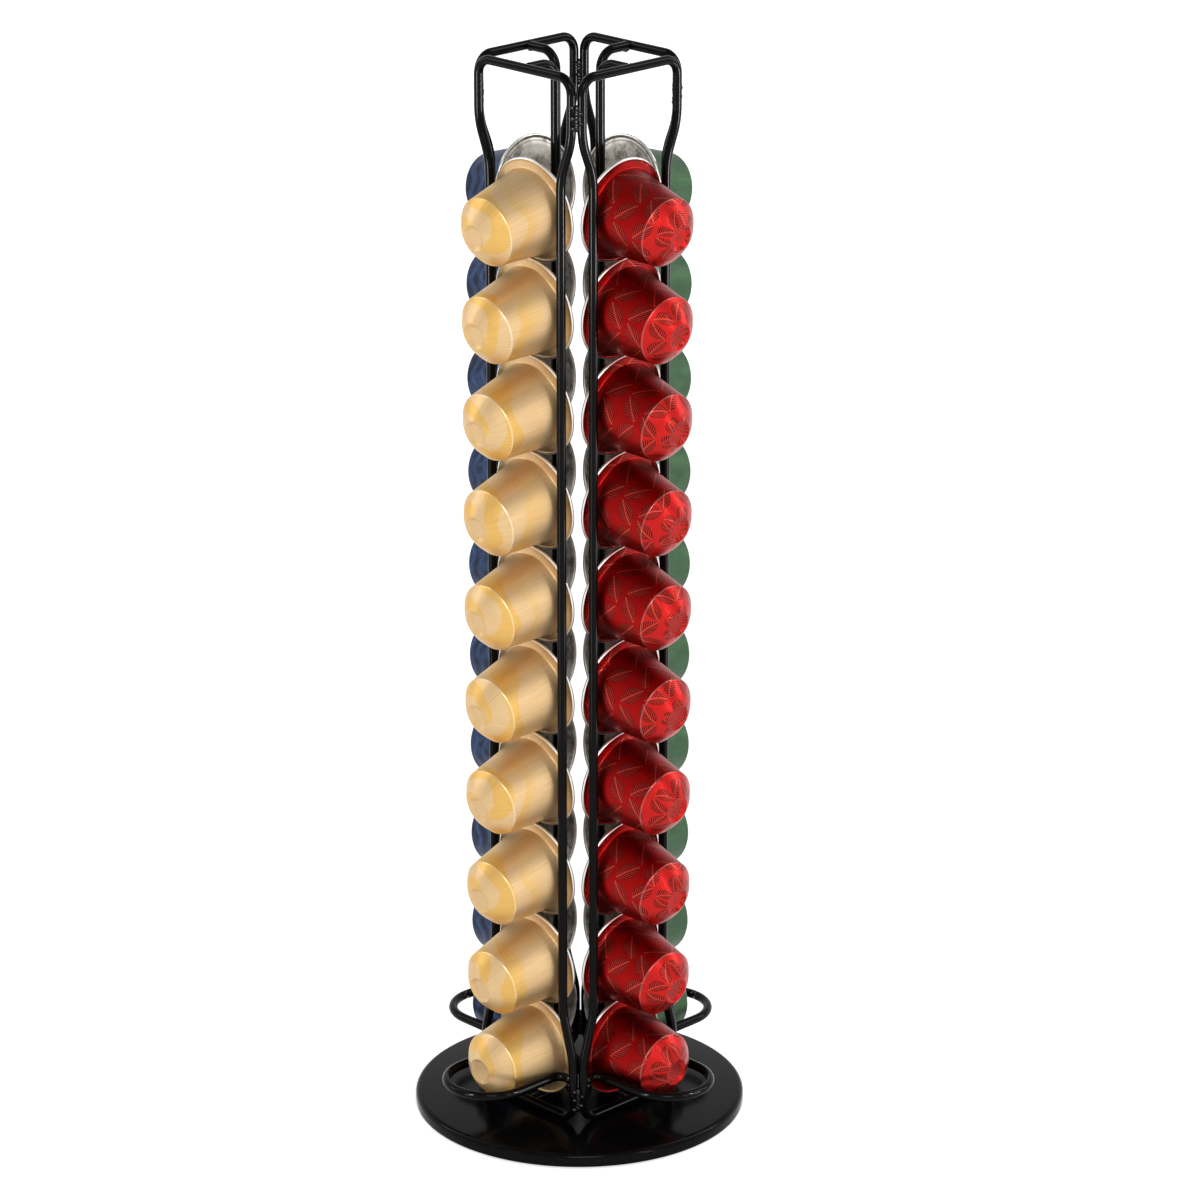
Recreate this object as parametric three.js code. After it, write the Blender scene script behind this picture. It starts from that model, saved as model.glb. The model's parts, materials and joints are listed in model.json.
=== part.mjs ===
// A turning coffee capsule tower: four wire columns of ten capsules on a low round turntable.
// Millimetres, +Z up. The origin is on the table, under the middle of the base.
// Each column is drawn facing -Y and turned into place. In a column, "out" is the distance
// from the tower's axis, and "side" is the distance from the column's own middle plane.

import * as THREE from 'three';

// Numbers of copies and of facets
const columnCount = 4;
const rowCount = 10;
const wireSides = 8;
const capsuleSides = 16;
const discSides = 64;
const ringSides = 32;
const rivetSides = 16;
const edgeSteps = 3;
const domeSteps = 3;
const leastBendSteps = 2;
const bendStepAngle = Math.PI / 8;
const leastRunShare = 0.01;

// Gaps between pieces
const seatGap = 0.3;
const pivotGap = 0.3;
const bodySideGap = 0.4;
const rimFrontGap = 0.1;
const rimBackGap = 1.5;
const neighbourGap = 1.4;
const liftStopGap = 1.2;

// Capsule, from the lid to the nose
const rimThickness = 1.3;
const flangeWidth = 3.5;
const flangeRise = 0.2;
const bodyRootRadius = 15;
const bodyNarrowing = 3;
const coneDepth = 6;
const capsuleDepth = 28.8;
const noseRadius = 4.6;
const noseLipWidth = 1.2;
const recessDepth = 0.8;
const stackDroop = THREE.MathUtils.degToRad(9.5);
const lowestDroop = THREE.MathUtils.degToRad(3.5);

// Wire frame
const wireDiameter = 3.2;
const cornerRadius = 5.5;
const backCornerRadius = 6;
const jogRadius = 25;
const liftTravel = 27.5;
const upperJogRise = 14.8;
const upperJogHeight = 12.6;
const lowerJogRise = 1.1;
const lowerJogHeight = 17.6;
const cradleDrop = 5.4;
const cradleFlareRadius = 3;
const fingerSpace = 8.6;

// Base
const discRadius = 58.4;
const sheetThickness = 1;
const discEdgeRadius = 1.8;
const discEdgeClearance = 0.6;
const plateEdgeGap = 6.1;
const plateThickness = 1;
const padEdgeInset = 4;
const padWidth = 18;
const padThickness = 1;
const glideThickness = 1.3;
const glideOverlap = 2;
const glideWidth = 10;
const rivetRadius = 2.5;
const rivetHeadRadius = 5;
const rivetHeadHeight = 1.8;
const rivetFlangeThickness = 0.7;

// Radii of the capsule
const rimRadius = bodyRootRadius + flangeWidth;
const shoulderRadius = bodyRootRadius - bodyNarrowing;
const shoulderDepth = capsuleDepth - coneDepth;
const recessRadius = noseRadius - noseLipWidth;

// Radii of the base
const shaftHoleRadius = rivetRadius + pivotGap;
const plateRadius = discRadius - sheetThickness - plateEdgeGap;
const padOuterRadius = plateRadius - padEdgeInset;
const padInnerRadius = padOuterRadius - padWidth;
const glideOuterRadius = padInnerRadius + glideOverlap;
const glideInnerRadius = glideOuterRadius - glideWidth;

// Levels of the base, from the table up
const plateBottom = padThickness + seatGap;
const plateTop = plateBottom + plateThickness;
const glideBottom = plateTop + seatGap;
const glideTop = glideBottom + glideThickness;
const discBottom = glideTop + seatGap;
const discTop = discBottom + sheetThickness;

// Where the wires of one column stand
const wireRadius = wireDiameter / 2;
const legSide = bodyRootRadius + bodySideGap + wireRadius;
const lidOut = rimRadius + neighbourGap;
const railReach = Math.sqrt(rimRadius ** 2 - (legSide - wireRadius) ** 2);
const railOut = lidOut + railReach * Math.sin(stackDroop) + rimThickness * Math.cos(stackDroop)
  + rimFrontGap + wireRadius;
const backOut = lidOut - rimRadius * Math.sin(stackDroop) - rimBackGap - wireRadius;
const spreadSide = railOut - (wireDiameter + seatGap) / Math.SQRT2;
const weldOut = railOut - wireRadius - seatGap;
const bottomBarLevel = discTop + seatGap + wireRadius;

// Radius of the capsule's body at a depth behind the lid's plane
const bodyRootDepth = rimThickness + flangeRise;
const bodyTaper = (bodyRootRadius - shoulderRadius) / (shoulderDepth - bodyRootDepth);
function bodyRadiusAt(depth) {
  return bodyRootRadius - bodyTaper * (depth - bodyRootDepth);
}

// Height of a capsule whose body lies on the rim of the one below it
function heightOnRim(lowerHeight, lowerDroop, droop) {
  const sine = Math.sin(droop);
  const cosine = Math.cos(droop);
  const heights = [0, rimThickness].map((depth) => {
    const rimOut = lidOut + depth * Math.cos(lowerDroop) + rimRadius * Math.sin(lowerDroop);
    const rimTop = lowerHeight - depth * Math.sin(lowerDroop) + rimRadius * Math.cos(lowerDroop);
    const contactDepth = (rimOut - lidOut + bodyRadiusAt(0) * sine) / (cosine + bodyTaper * sine);
    return rimTop + seatGap + contactDepth * sine + bodyRadiusAt(contactDepth) * cosine;
  });
  return Math.max(...heights);
}

// Height and droop of every capsule in a column, lowest first
const lowestHeight = bottomBarLevel + wireRadius + seatGap
  + rimRadius * Math.cos(lowestDroop) + rimThickness * Math.sin(lowestDroop);
const rows = [{ height: lowestHeight, droop: lowestDroop }];
while (rows.length < rowCount) {
  const below = rows[rows.length - 1];
  rows.push({ height: heightOnRim(below.height, below.droop, stackDroop), droop: stackDroop });
}
const topHeight = rows[rowCount - 1].height;
const topBarLevel = topHeight + rimRadius * Math.cos(stackDroop) + liftTravel + liftStopGap
  + wireRadius;

// The cradle's arms touch the lowest body where they leave their flares
const armStart = railOut + cradleFlareRadius;
const armDepth = (armStart - lidOut) / Math.cos(lowestDroop);
const cradleLevel = lowestHeight - armDepth * Math.sin(lowestDroop) - cradleDrop;
const armDistance = bodyRadiusAt(armDepth) + seatGap + wireRadius;
const armSide = Math.sqrt(armDistance ** 2 - cradleDrop ** 2);
const cradleTip = lidOut + capsuleDepth * Math.cos(lowestDroop) + fingerSpace + wireRadius;

// Finishes
const finish = (color, metalness, roughness) => ({ color, metalness, roughness });
const blackPaint = finish(0x101012, 0.3, 0.22);
const blackEnamel = finish(0x0c0c0d, 0.3, 0.15);
const blackRubber = finish(0x161616, 0, 0.9);
const greyNylon = finish(0xb8b8b0, 0, 0.6);
const bareSteel = finish(0x8d8f92, 1, 0.35);
const capsuleFinishes = [
  finish(0xd9ba7c, 0.85, 0.38),
  finish(0x98101a, 0.8, 0.28),
  finish(0x3f7a55, 0.8, 0.36),
  finish(0x24407c, 0.8, 0.34),
];

// A path of straight runs and round bends, with its stations kept where the bends need them
class WirePath extends THREE.Curve {
  constructor(stations) {
    super();
    this.stations = stations;
  }

  stationAt(t) {
    return this.stations[Math.round(t * (this.stations.length - 1))];
  }

  getPoint(t, target = new THREE.Vector3()) {
    return target.copy(this.stationAt(t).point);
  }

  getTangent(t, target = new THREE.Vector3()) {
    return target.copy(this.stationAt(t).tangent);
  }

  getPointAt(t, target) {
    return this.getPoint(t, target);
  }

  getTangentAt(t, target) {
    return this.getTangent(t, target);
  }
}

// Stations round one bend, from its first tangent point to its last
function bendStations(before, corner, after, radius) {
  const incoming = new THREE.Vector3().subVectors(corner, before).normalize();
  const outgoing = new THREE.Vector3().subVectors(after, corner).normalize();
  const turn = incoming.angleTo(outgoing);
  const start = corner.clone().addScaledVector(incoming, -radius * Math.tan(turn / 2));
  const inward = new THREE.Vector3().subVectors(outgoing, incoming).normalize();
  const centre = corner.clone().addScaledVector(inward, radius / Math.cos(turn / 2));
  const axis = new THREE.Vector3().crossVectors(incoming, outgoing).normalize();
  const steps = Math.max(leastBendSteps, Math.ceil(turn / bendStepAngle));
  return Array.from({ length: steps + 1 }, (_, index) => {
    const angle = turn * index / steps;
    return {
      point: start.clone().sub(centre).applyAxisAngle(axis, angle).add(centre),
      tangent: incoming.clone().applyAxisAngle(axis, angle),
    };
  });
}

// A round wire through corner points given as [side, out, level, bend radius].
// A loop ends where it starts, so it has only its sides and no end faces.
function bentWire(corners, isLoop = false) {
  const points = corners.map(([side, out, level]) => new THREE.Vector3(side, -out, level));
  const last = points.length - 1;
  const direction = (from, to) => new THREE.Vector3().subVectors(to, from).normalize();
  const stations = [{ point: points[0], tangent: direction(points[0], points[1]) }];
  for (let index = 1; index < last; index += 1) {
    const bend = bendStations(points[index - 1], points[index], points[index + 1], corners[index][3]);
    const previous = stations[stations.length - 1].point;
    const isJoined = previous.distanceTo(bend[0].point) < wireRadius * leastRunShare;
    stations.push(...(isJoined ? bend.slice(1) : bend));
  }
  stations.push({ point: points[last], tangent: direction(points[last - 1], points[last]) });

  const section = new THREE.Shape();
  section.absarc(0, 0, wireRadius, 0, 2 * Math.PI);
  const wire = new THREE.ExtrudeGeometry(section, {
    curveSegments: wireSides / 2,
    steps: stations.length - 1,
    extrudePath: new WirePath(stations),
  });
  if (!isLoop) return wire;

  const [, sides] = wire.groups;
  const corner = wire.getAttribute('position');
  const from = sides.start * corner.itemSize;
  const kept = corner.array.slice(from, from + sides.count * corner.itemSize);
  const loop = new THREE.BufferGeometry();
  loop.setAttribute('position', new THREE.BufferAttribute(kept, corner.itemSize));
  loop.computeVertexNormals();
  return loop;
}

// A turned piece from [radius, level] points, with its axis along Z
function turnedPiece(points, sides) {
  const profile = points.map(([radius, level]) => new THREE.Vector2(radius, level));
  const geometry = new THREE.LatheGeometry(profile, sides);
  return geometry.rotateX(Math.PI / 2);
}

// A flat ring's closed profile, anticlockwise from its inner bottom edge
function ringProfile(innerRadius, outerRadius, bottom, top) {
  return [
    [innerRadius, bottom], [outerRadius, bottom],
    [outerRadius, top], [innerRadius, top],
    [innerRadius, bottom],
  ];
}

// Points on a quarter circle, from level with its centre to straight above it
function quarterRound(centreRadius, centreLevel, width, height, steps) {
  return Array.from({ length: steps + 1 }, (_, index) => {
    const angle = Math.PI / 2 * index / steps;
    return [centreRadius + width * Math.cos(angle), centreLevel + height * Math.sin(angle)];
  });
}

// The sheet disc: a shallow pan with a rounded shoulder and a skirt that hides the bearing
function turntableDisc() {
  const innerEdge = discRadius - sheetThickness;
  const fillet = discEdgeRadius - sheetThickness;
  return turnedPiece([
    [shaftHoleRadius, discBottom],
    [innerEdge - fillet, discBottom],
    [innerEdge, discBottom - fillet],
    [innerEdge, discEdgeClearance],
    [discRadius, discEdgeClearance],
    ...quarterRound(discRadius - discEdgeRadius, discTop - discEdgeRadius,
      discEdgeRadius, discEdgeRadius, edgeSteps),
    [shaftHoleRadius, discTop],
    [shaftHoleRadius, discBottom],
  ], discSides);
}

// The rivet that the disc turns on: a flat tail under the plate, a shank and a domed head
function pivotRivet() {
  const headBottom = discTop + seatGap;
  return turnedPiece([
    [0, plateBottom - seatGap - rivetFlangeThickness],
    [rivetHeadRadius, plateBottom - seatGap - rivetFlangeThickness],
    [rivetHeadRadius, plateBottom - seatGap],
    [rivetRadius, plateBottom - seatGap],
    [rivetRadius, headBottom],
    ...quarterRound(0, headBottom, rivetHeadRadius, rivetHeadHeight, domeSteps).slice(0, -1),
    [0, headBottom + rivetHeadHeight],
  ], rivetSides);
}

// The front loop of a column: one closed wire that spreads at both ends to meet its neighbours.
// The narrow legs hold the capsules by their rims, and the wide ends let the rims pass.
function frontLoop() {
  const upperJogBottom = topHeight + upperJogRise;
  const lowerJogBottom = lowestHeight + lowerJogRise;
  const rightHalf = [
    [spreadSide, railOut, bottomBarLevel, cornerRadius],
    [spreadSide, railOut, lowerJogBottom, jogRadius],
    [legSide, railOut, lowerJogBottom + lowerJogHeight, jogRadius],
    [legSide, railOut, upperJogBottom, jogRadius],
    [spreadSide, railOut, upperJogBottom + upperJogHeight, jogRadius],
    [spreadSide, railOut, topBarLevel, cornerRadius],
  ];
  const leftHalf = rightHalf.map(([side, ...rest]) => [-side, ...rest]).reverse();
  const seam = [0, railOut, bottomBarLevel];
  return bentWire([seam, ...rightHalf, ...leftHalf, seam], true);
}

// The back wire stands behind the lids. Its foot carries the column's lowest rim.
function backWire() {
  return bentWire([
    [0, weldOut, bottomBarLevel],
    [0, backOut, bottomBarLevel, backCornerRadius],
    [0, backOut, topBarLevel, backCornerRadius],
    [0, weldOut, topBarLevel],
  ]);
}

// The cradle: a flat U whose arms carry the lowest body and whose round end clears a finger
function cradle() {
  const weldSide = spreadSide - wireRadius - seatGap;
  const rightHalf = [
    [weldSide, railOut, cradleLevel],
    [armSide, railOut, cradleLevel, cradleFlareRadius],
    [armSide, cradleTip, cradleLevel, armSide],
  ];
  const leftHalf = rightHalf.map(([side, ...rest]) => [-side, ...rest]).reverse();
  return bentWire([...rightHalf, ...leftHalf]);
}

// A sealed capsule from the middle of its lid to the recess in its nose
function capsuleShape() {
  const profile = [
    [0, 0],
    [rimRadius, 0],
    [rimRadius, rimThickness],
    [bodyRootRadius, bodyRootDepth],
    [shoulderRadius, shoulderDepth],
    [noseRadius, capsuleDepth],
    [recessRadius, capsuleDepth - recessDepth],
    [0, capsuleDepth - recessDepth],
  ].map(([radius, depth]) => new THREE.Vector2(radius, depth));
  return new THREE.LatheGeometry(profile, capsuleSides);
}

const tower = new THREE.Group();

function addPiece(parent, name, geometry, look) {
  const piece = new THREE.Mesh(geometry, new THREE.MeshStandardMaterial(look));
  piece.name = name;
  parent.add(piece);
  return piece;
}

// Base, from the table up
addPiece(tower, 'non_slip_pad',
  turnedPiece(ringProfile(padInnerRadius, padOuterRadius, 0, padThickness), ringSides), blackRubber);
addPiece(tower, 'base_plate',
  turnedPiece(ringProfile(shaftHoleRadius, plateRadius, plateBottom, plateTop), ringSides),
  blackPaint);
addPiece(tower, 'glide_ring',
  turnedPiece(ringProfile(glideInnerRadius, glideOuterRadius, glideBottom, glideTop), ringSides),
  greyNylon);
addPiece(tower, 'turntable_disc', turntableDisc(), blackEnamel);
addPiece(tower, 'pivot_rivet', pivotRivet(), bareSteel);

// Four columns a quarter turn apart
const frontLoopGeometry = frontLoop();
const backWireGeometry = backWire();
const cradleGeometry = cradle();
const capsuleGeometry = capsuleShape();
for (let index = 0; index < columnCount; index += 1) {
  const column = new THREE.Group();
  column.rotation.z = 2 * Math.PI * index / columnCount;
  tower.add(column);
  const number = index + 1;
  addPiece(column, `front_loop_${number}`, frontLoopGeometry, blackPaint);
  addPiece(column, `back_wire_${number}`, backWireGeometry, blackPaint);
  addPiece(column, `cradle_${number}`, cradleGeometry, blackPaint);
  rows.forEach(({ height, droop }, row) => {
    const name = `capsule_${number}_${String(row + 1).padStart(2, '0')}`;
    const capsule = addPiece(column, name, capsuleGeometry, capsuleFinishes[index]);
    capsule.position.set(0, -lidOut, height);
    capsule.rotation.x = Math.PI + droop;
  });
}

export default tower;
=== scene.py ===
import json
import math

import bpy
from mathutils import Matrix, Vector

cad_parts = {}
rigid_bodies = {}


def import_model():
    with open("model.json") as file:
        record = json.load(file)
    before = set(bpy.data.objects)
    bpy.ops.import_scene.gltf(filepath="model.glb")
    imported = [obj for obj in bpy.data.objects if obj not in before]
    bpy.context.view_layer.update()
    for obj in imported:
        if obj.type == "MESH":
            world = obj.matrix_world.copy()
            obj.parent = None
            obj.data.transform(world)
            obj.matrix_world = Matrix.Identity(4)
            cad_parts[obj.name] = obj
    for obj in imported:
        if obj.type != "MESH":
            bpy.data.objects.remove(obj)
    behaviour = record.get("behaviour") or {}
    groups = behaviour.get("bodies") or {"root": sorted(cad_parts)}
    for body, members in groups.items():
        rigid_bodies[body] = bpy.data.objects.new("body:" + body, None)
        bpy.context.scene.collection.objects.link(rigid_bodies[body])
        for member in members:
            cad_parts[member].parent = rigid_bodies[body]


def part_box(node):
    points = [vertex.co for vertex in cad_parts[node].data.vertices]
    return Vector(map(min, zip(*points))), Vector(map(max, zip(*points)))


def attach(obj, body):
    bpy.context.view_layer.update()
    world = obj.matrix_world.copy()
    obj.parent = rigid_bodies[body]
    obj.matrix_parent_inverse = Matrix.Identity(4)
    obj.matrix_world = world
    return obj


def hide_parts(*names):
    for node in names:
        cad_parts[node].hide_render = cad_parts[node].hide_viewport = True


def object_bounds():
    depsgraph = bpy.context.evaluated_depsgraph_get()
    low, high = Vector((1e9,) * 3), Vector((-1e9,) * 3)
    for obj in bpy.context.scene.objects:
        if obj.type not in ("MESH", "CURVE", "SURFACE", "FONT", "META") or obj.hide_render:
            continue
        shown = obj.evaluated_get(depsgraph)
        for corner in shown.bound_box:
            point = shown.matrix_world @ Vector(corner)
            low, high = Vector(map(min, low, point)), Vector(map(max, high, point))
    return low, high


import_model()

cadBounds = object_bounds()
mm = 0.001
rowCount = 10
columns = {1: "gold", 2: "red", 3: "green", 4: "blue"}


def columnTurn(column):  # column 1 faces -Y, and the others follow a quarter turn apart
    return math.pi / 2 * (column - 1)


def columnPoint(column, side, out, level):
    return Matrix.Rotation(columnTurn(column), 4, "Z") @ Vector((side, -out, level))


def srgb(*levels):  # a colour as a picture shows it, 0 to 255
    linear = [((v / 255 + 0.055) / 1.055) ** 2.4 if v > 10 else v / 255 / 12.92 for v in levels]
    return (*linear, 1)


# Node trees are written as expressions on their sockets
class Flow:
    def __init__(self, maker, socket):
        self.maker = maker
        self.socket = socket

    def math(self, operation, *others):
        return self.maker.math(operation, self, *others)

    def __add__(self, other):
        return self.maker.math("ADD", self, other)

    def __sub__(self, other):
        return self.maker.math("SUBTRACT", self, other)

    def __rsub__(self, other):
        return self.maker.math("SUBTRACT", other, self)

    def __mul__(self, other):
        return self.maker.math("MULTIPLY", self, other)

    def __truediv__(self, other):
        return self.maker.math("DIVIDE", self, other)

    __radd__ = __add__
    __rmul__ = __mul__


class Maker:
    def __init__(self, tree):
        self.tree = tree

    def node(self, kind, settings=None, inputs=None, output=0):
        made = self.tree.nodes.new(kind)
        for name, value in (settings or {}).items():
            setattr(made, name, value)
        for name, value in (inputs or {}).items():
            if isinstance(value, Flow):
                self.tree.links.new(value.socket, made.inputs[name])
            else:
                made.inputs[name].default_value = value
        if isinstance(output, tuple):
            return [Flow(self, made.outputs[name]) for name in output]
        return Flow(self, made.outputs[output]) if len(made.outputs) else None

    def math(self, operation, *values):
        return self.node("ShaderNodeMath", {"operation": operation}, dict(enumerate(values)))

    def smooth(self, value, low, high):  # 0 at low, 1 at high
        inputs = {"Value": value, "From Min": low, "From Max": high}
        return self.node("ShaderNodeMapRange", {"interpolation_type": "SMOOTHSTEP"}, inputs)

    def mix(self, share, first, second, blend="MIX"):
        settings = {"data_type": "RGBA", "blend_type": blend}
        return self.node("ShaderNodeMix", settings, {0: share, 6: first, 7: second}, 2)

    def stretch(self, vector, scale):
        return self.node("ShaderNodeVectorMath", {"operation": "MULTIPLY"}, {0: vector, 1: scale})

    def shift(self, vector, offset):
        return self.node("ShaderNodeVectorMath", {"operation": "ADD"}, {0: vector, 1: offset})

    def split(self, vector, axes="XYZ"):
        return self.node("ShaderNodeSeparateXYZ", None, {0: vector}, tuple(axes))

    def join(self, x, y, z):
        return self.node("ShaderNodeCombineXYZ", None, {0: x, 1: y, 2: z})

    def fromAxis(self, x, y):
        return (x * x + y * y).math("SQRT")

    def noise(self, vector, scale, detail=2.0, roughness=0.5):
        inputs = {"Vector": vector, "Scale": scale, "Detail": detail, "Roughness": roughness}
        return self.node("ShaderNodeTexNoise", None, inputs)

    def cells(self, vector, scale):
        return self.node("ShaderNodeTexVoronoi", None, {"Vector": vector, "Scale": scale}, "Distance")

    def bump(self, height, strength, distance):
        inputs = {"Height": height, "Strength": strength, "Distance": distance}
        return self.node("ShaderNodeBump", None, inputs)

    def place(self):  # object coordinates in millimetres
        return self.stretch(self.node("ShaderNodeTexCoord", None, None, "Object"), (1 / mm,) * 3)

    def attribute(self, name, output):
        return self.node("ShaderNodeAttribute", {"attribute_name": name}, None, output)

    def capsulePlace(self):  # millimetres from the middle of the capsule's lid
        return self.attribute("capsulePlace", "Vector")

    def capsuleSeed(self):  # one random number for each capsule, 0 to 1
        return self.attribute("capsuleSeed", "Fac")


def emptyTree(owner):
    owner.use_nodes = True
    owner.node_tree.nodes.clear()
    return Maker(owner.node_tree)


def makeMaterial(name, build):
    material = bpy.data.materials.new(name)
    maker = emptyTree(material)
    shader = maker.node("ShaderNodeBsdfPrincipled", None, build(maker))
    maker.node("ShaderNodeOutputMaterial", None, {"Surface": shader})
    return material


# A noise is (scale per mm, detail, roughness), a range is (none at, full at) and a bump is
# (strength, height)
def grained(maker, place, look):  # colour, roughness and relief all follow one grain
    grain = maker.noise(place, *look["grain"])
    return {
        "Base Color": maker.mix(grain, look["colour"], look["grainColour"]),
        "Metallic": look["metal"],
        "Roughness": look["roughness"] + grain * look["roughnessSpread"],
        "Normal": maker.bump(grain, *look["bump"]),
        "IOR": look["ior"],
    }


# Finishes of the wires and the base. The low index keeps the white floor out of the black paint.
paintLook = {
    "colour": srgb(5, 4, 4), "dustColour": srgb(60, 58, 54), "ior": 1.16,
    "peel": (0.9, 3.0), "bump": (0.16, 0.05 * mm), "roughness": 0.05, "roughnessSpread": 0.14,
    "dust": (1.7, 4.0, 0.7), "dustRange": (0.66, 0.8), "dustShare": 0.1,
}


def wirePaint(maker):
    look = paintLook
    place = maker.place()
    peel = maker.noise(place, *look["peel"])
    dust = maker.smooth(maker.noise(place, *look["dust"]), *look["dustRange"]) * look["dustShare"]
    return {
        "Base Color": maker.mix(dust, look["colour"], look["dustColour"]),
        "Roughness": look["roughness"] + peel * look["roughnessSpread"] + dust,
        "Normal": maker.bump(peel, *look["bump"]),
        "IOR": look["ior"],
    }


weldLook = {
    "colour": srgb(6, 6, 6), "grainColour": paintLook["colour"], "metal": 0.0, "ior": 1.28,
    "grain": (1.6, 3.0, 0.6), "bump": (0.3, 0.12 * mm), "roughness": 0.06, "roughnessSpread": 0.12,
}


def weldSeam(maker):  # the lumps carry thicker, shinier paint
    return grained(maker, maker.place(), weldLook)


enamelLook = {
    "colour": srgb(7, 7, 8), "dustColour": srgb(84, 83, 80), "wearColour": srgb(60, 60, 62),
    "ior": 1.14, "rings": (5.0, 3.0), "bump": (0.06, 0.02 * mm),
    "cloud": (0.05, 3.0, 0.6), "roughness": 0.09, "roughnessSpread": 0.1,
    "speckScale": 0.55, "speckRange": (0.09, 0.03), "cloudRange": (0.4, 0.6),
    "speckShare": 0.22, "speckRoughness": 0.3,
    "edgeRange": (57.2, 58.7), "wear": (0.8, 3.0, 0.7), "wearRange": (0.55, 0.75), "wearShare": 0.25,
}


def discEnamel(maker):  # spun rings, dust in patches and a worn edge
    look = enamelLook
    place = maker.place()
    x, y = maker.split(place, "XY")
    radius = maker.fromAxis(x, y)
    rings = maker.noise(maker.join(radius, 0.0, 0.0), *look["rings"])
    cloud = maker.noise(place, *look["cloud"])
    specks = maker.smooth(maker.cells(place, look["speckScale"]), *look["speckRange"])
    specks = specks * maker.smooth(cloud, *look["cloudRange"])
    wear = maker.smooth(maker.noise(place, *look["wear"]), *look["wearRange"])
    wear = maker.smooth(radius, *look["edgeRange"]) * wear * look["wearShare"]
    dusty = maker.mix(specks * look["speckShare"], look["colour"], look["dustColour"])
    roughness = look["roughness"] + cloud * look["roughnessSpread"]
    return {
        "Base Color": maker.mix(wear, dusty, look["wearColour"]),
        "Roughness": roughness + specks * look["speckRoughness"],
        "Normal": maker.bump(rings, *look["bump"]),
        "IOR": look["ior"],
    }


plateLook = {
    "colour": srgb(20, 20, 21), "grainColour": srgb(44, 44, 46), "metal": 0.0, "ior": 1.5,
    "grain": (1.4, 4.0, 0.65), "bump": (0.3, 0.05 * mm), "roughness": 0.35, "roughnessSpread": 0.25,
}


def plateSteel(maker):
    return grained(maker, maker.place(), plateLook)


padLook = {
    "colour": srgb(34, 34, 34), "poreColour": srgb(12, 12, 12),
    "poreScale": 1.3, "poreRange": (0.25, 0.05), "poreShare": 0.7,
    "grain": (4.0, 3.0, 0.7), "grainRelief": 0.3, "bump": (0.6, 0.1 * mm),
    "roughness": 0.78, "roughnessSpread": 0.18,
}


def padRubber(maker):
    look = padLook
    place = maker.place()
    pores = maker.cells(place, look["poreScale"])
    grain = maker.noise(place, *look["grain"])
    share = maker.smooth(pores, *look["poreRange"]) * look["poreShare"]
    return {
        "Base Color": maker.mix(share, look["colour"], look["poreColour"]),
        "Roughness": look["roughness"] + grain * look["roughnessSpread"],
        "Normal": maker.bump(pores + grain * look["grainRelief"], *look["bump"]),
    }


glideLook = {
    "colour": srgb(205, 204, 194), "cloudColour": srgb(176, 174, 162), "cloud": (0.3, 3.0),
    "relief": (3.0, 2.0), "bump": (0.15, 0.03 * mm), "roughness": 0.42, "roughnessSpread": 0.2,
}


def glideNylon(maker):
    look = glideLook
    place = maker.place()
    cloud = maker.noise(place, *look["cloud"])
    return {
        "Base Color": maker.mix(cloud, look["colour"], look["cloudColour"]),
        "Roughness": look["roughness"] + cloud * look["roughnessSpread"],
        "Normal": maker.bump(maker.noise(place, *look["relief"]), *look["bump"]),
    }


rivetLook = {
    "colour": srgb(150, 152, 156), "grainColour": srgb(104, 106, 110), "metal": 1.0, "ior": 1.5,
    "grain": (2.2, 4.0, 0.7), "bump": (0.25, 0.04 * mm), "roughness": 0.26, "roughnessSpread": 0.25,
}


def rivetZinc(maker):
    return grained(maker, maker.place(), rivetLook)


# Finishes of the capsules. Their place and print follow what each capsule's mesh carries.
cupLook = {
    "turnRadius": 13.5, "axisGap": 0.001, "streakStretch": 0.035, "streakShift": 90,
    "fine": (2.6, 3.0, 0.6), "broad": (0.572, 2.0), "broadShare": 0.12,
    "shadeColour": (0.62, 0.6, 0.58, 1), "shadeRange": (0.35, 0.65), "shadeShare": 0.27,
    "bump": (0.18, 0.03 * mm), "roughnessSpread": 0.16, "coatRoughness": 0.12,
    # The thin light ring round the shoulder is partly edge wear and partly a painted highlight.
    "shoulderAt": 0.5258, "shoulderRange": (0.0052, 0.0), "shoulderShine": 0.5,
    "shoulderWearAndHighlightColour": srgb(250, 240, 226),
}


def cupStreaks(maker):  # fine lines of the rolled sheet, from the rim to the nose
    look = cupLook
    x, y, z = maker.split(maker.capsulePlace())
    radius = maker.fromAxis(x, y) / look["turnRadius"] + look["axisGap"]
    along = z * look["streakStretch"] + maker.capsuleSeed() * look["streakShift"]
    placed = maker.join(x / radius, y / radius, along)
    fine = maker.noise(placed, *look["fine"])
    broad = maker.noise(placed, *look["broad"])
    return fine * (1 - look["broadShare"]) + broad * look["broadShare"]


def cupAround(maker):  # turns round the capsule, and the way along its outline on the same scale
    return maker.split(maker.node("ShaderNodeUVMap", {"uv_map": "UVMap"}), "XY")


def cupFinish(maker, colour, look):
    cup = cupLook
    streaks = cupStreaks(maker)
    along = cupAround(maker)[1]
    # Lighter ring at the shoulder: part edge wear, part painted highlight line.
    fromShoulder = (along - cup["shoulderAt"]).math("ABSOLUTE")
    shoulder = maker.smooth(fromShoulder, *cup["shoulderRange"]) * look["shoulderWearAndHighlight"]
    darker = maker.mix(1.0, colour, cup["shadeColour"], "MULTIPLY")
    share = maker.smooth(streaks, *cup["shadeRange"]) * cup["shadeShare"]
    roughness = look["roughness"] + streaks * cup["roughnessSpread"]
    return {
        "Base Color": maker.mix(shoulder, maker.mix(share, colour, darker), cup["shoulderWearAndHighlightColour"]),
        "Metallic": look["metal"],
        "Roughness": roughness - shoulder * cup["shoulderShine"],
        "Normal": maker.bump(streaks, *cup["bump"]),
        "Coat Weight": look["coat"],
        "Coat Roughness": cup["coatRoughness"],
    }


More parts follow.
